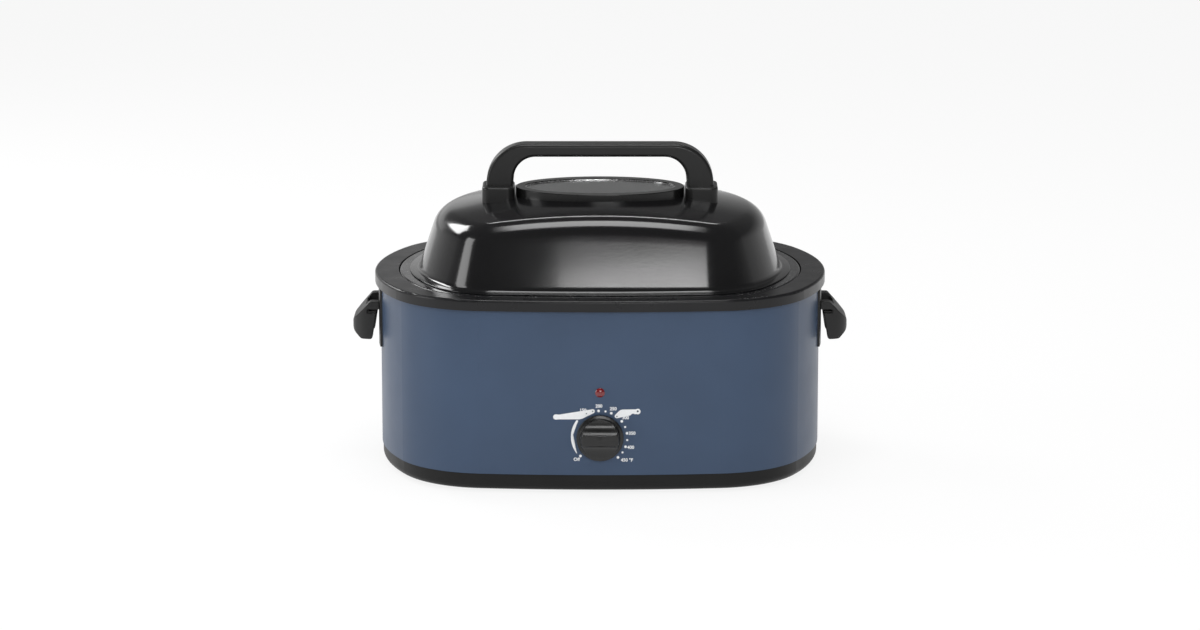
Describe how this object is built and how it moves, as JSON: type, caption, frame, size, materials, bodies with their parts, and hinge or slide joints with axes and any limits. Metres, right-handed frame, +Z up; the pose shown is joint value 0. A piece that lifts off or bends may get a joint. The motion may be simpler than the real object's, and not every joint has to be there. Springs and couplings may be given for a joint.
{
  "type": "electric roaster oven",
  "caption": "Oval countertop roaster with a lift-off domed lid, window, loop handle, lift-out pan, rack, side handles and one heat dial.",
  "frame": {"origin": "on the table, under the middle of the oven", "axes": "+Z up, +X along the length to the right, -Y out of the front where the dial is"},
  "size_m": [0.5712, 0.4123, 0.3683],
  "materials": {
    "shell_blue": "satin blue paint on steel",
    "rim_black": "satin black enamel on steel",
    "base_black": "satin black moulded plastic",
    "foot_rubber": "matte rubber",
    "zinc_steel": "zinc plated",
    "well_steel": "aluminised steel",
    "band_mica": "heating tape on mica",
    "ceramic": "glazed ceramic",
    "glass_wool": "glass fibre blanket",
    "shield_aluminium": "plain mill finish",
    "pan_enamel": "gloss black enamel with fine pale specks",
    "rack_chrome": "chrome plated wire",
    "lid_enamel": "gloss black enamel on steel",
    "gasket_silicone": "matte silicone",
    "window_glass": "tempered glass",
    "ring_steel": "satin stainless",
    "bezel_black": "gloss black",
    "handle_black": "half-gloss phenolic",
    "grip_black": "matte moulded plastic",
    "knob_black": "gloss moulded plastic",
    "lens_red": "clear red",
    "lamp_glass": "small glow lamp",
    "wire_sleeve": "white glass-fibre sleeving"
  },
  "bodies": {
    "housing": {"outer_shell": "shell_blue", "top_rim": "rim_black", "base_tray": "base_black", "feet": "foot_rubber", "base_screws": "zinc_steel", "heating_well": "well_steel", "heating_band": "band_mica", "band_terminals": "ceramic", "insulation_blanket": "glass_wool", "support_posts": "zinc_steel", "heat_shield": "shield_aluminium", "tie_screws": "zinc_steel", "side_handle_plate_left": "grip_black", "side_handle_plate_right": "grip_black", "side_handle_grip_left": "grip_black", "side_handle_grip_right": "grip_black", "side_handle_screws": "zinc_steel", "thermostat_body": "ceramic", "thermostat_nut": "zinc_steel", "thermostat_bracket": "shield_aluminium", "indicator_lens": "lens_red", "indicator_lamp": "lamp_glass", "lamp_retainer": "zinc_steel", "cord_gland": "grip_black", "gland_nut": "grip_black", "terminal_block": "ceramic", "inner_wires": "wire_sleeve"},
    "pan": {"roasting_pan": "pan_enamel"},
    "rack": {"roasting_rack": "rack_chrome", "rack_loops": "rack_chrome"},
    "lid": {"lid_shell": "lid_enamel", "window_gasket": "gasket_silicone", "window_glass": "window_glass", "window_ring": "ring_steel", "window_bezel": "bezel_black", "lid_handle": "handle_black", "lid_handle_shoe_left": "handle_black", "lid_handle_shoe_right": "handle_black", "lid_handle_washers": "zinc_steel", "lid_handle_screws": "zinc_steel"},
    "knob": {"control_knob": "knob_black", "thermostat_shaft": "zinc_steel", "knob_clip": "ring_steel"}
  },
  "joints": [
    {"name": "pan_lift", "type": "slide", "parent": "housing", "child": "pan", "axis": [0, 0, 1], "range_m": [0, 0.17]},
    {"name": "rack_lift", "type": "slide", "parent": "pan", "child": "rack", "axis": [0, 0, 1], "range_m": [0, 0.15]},
    {"name": "lid_lift", "type": "slide", "parent": "rack", "child": "lid", "axis": [0, 0, 1], "range_m": [0, 0.16]},
    {"name": "dial_turn", "type": "hinge", "parent": "housing", "child": "knob", "pos_m": [0, -0.19, 0.0655], "axis": [0, 1, 0], "range_deg": [-44.3, 228.7]}
  ]
}
